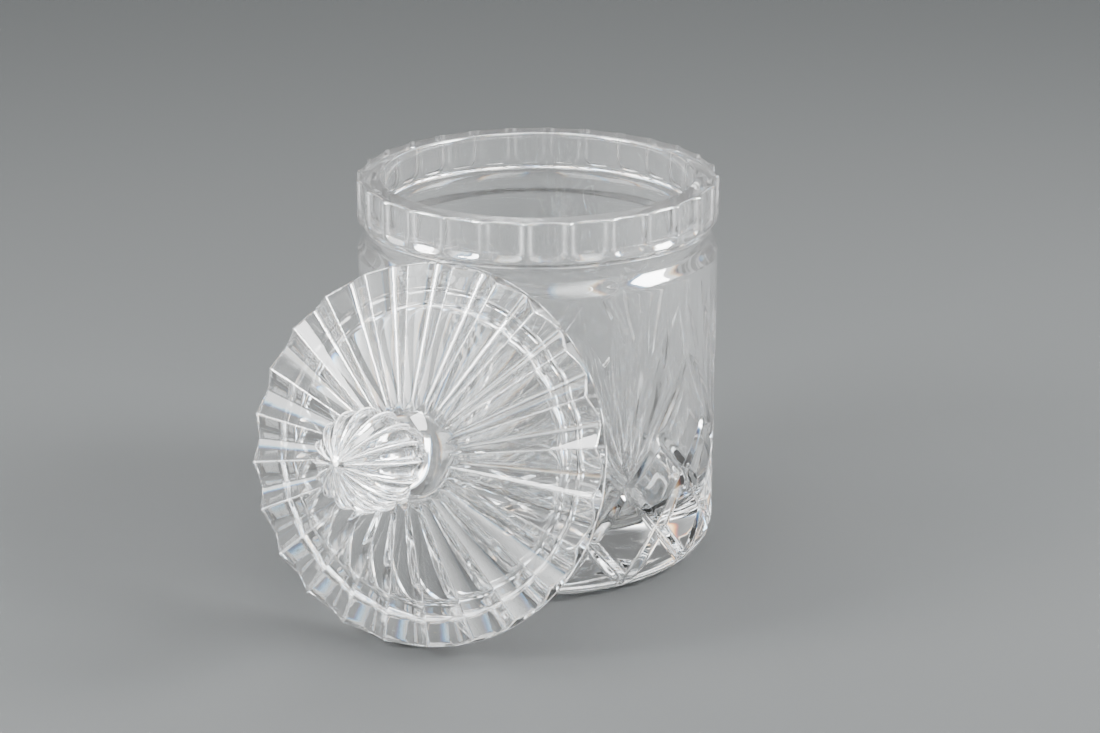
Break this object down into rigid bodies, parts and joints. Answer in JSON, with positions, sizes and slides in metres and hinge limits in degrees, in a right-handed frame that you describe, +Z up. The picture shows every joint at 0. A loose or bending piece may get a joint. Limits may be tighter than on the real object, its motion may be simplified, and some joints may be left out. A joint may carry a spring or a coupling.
{
  "type": "powder jar",
  "caption": "Cylindrical cut-crystal jar with a fluted rim and a fan and diamond body, open, its round pleated lid with a ribbed ball knob leaning against the front.",
  "frame": {"origin": "centre of the jar's underside, on the surface it stands on", "axes": "+Z up along the jar's axis; -Y toward the lid that leans on the jar; +X to the right seen from the lid's side"},
  "size_m": [0.1006, 0.1647, 0.1074],
  "materials": {
    "jar_crystal": "clear polished lead crystal",
    "lid_crystal": "clear polished lead crystal",
    "knob_crystal": "clear polished lead crystal"
  },
  "bodies": {
    "jar": {"jar": "jar_crystal"},
    "lid": {"lid": "lid_crystal", "knob": "knob_crystal"}
  },
  "joints": [
    {"name": "lid_lift", "type": "slide", "parent": "jar", "child": "lid", "axis": [0, -0.9548, 0.2974], "range_m": [0, 0.15]}
  ]
}
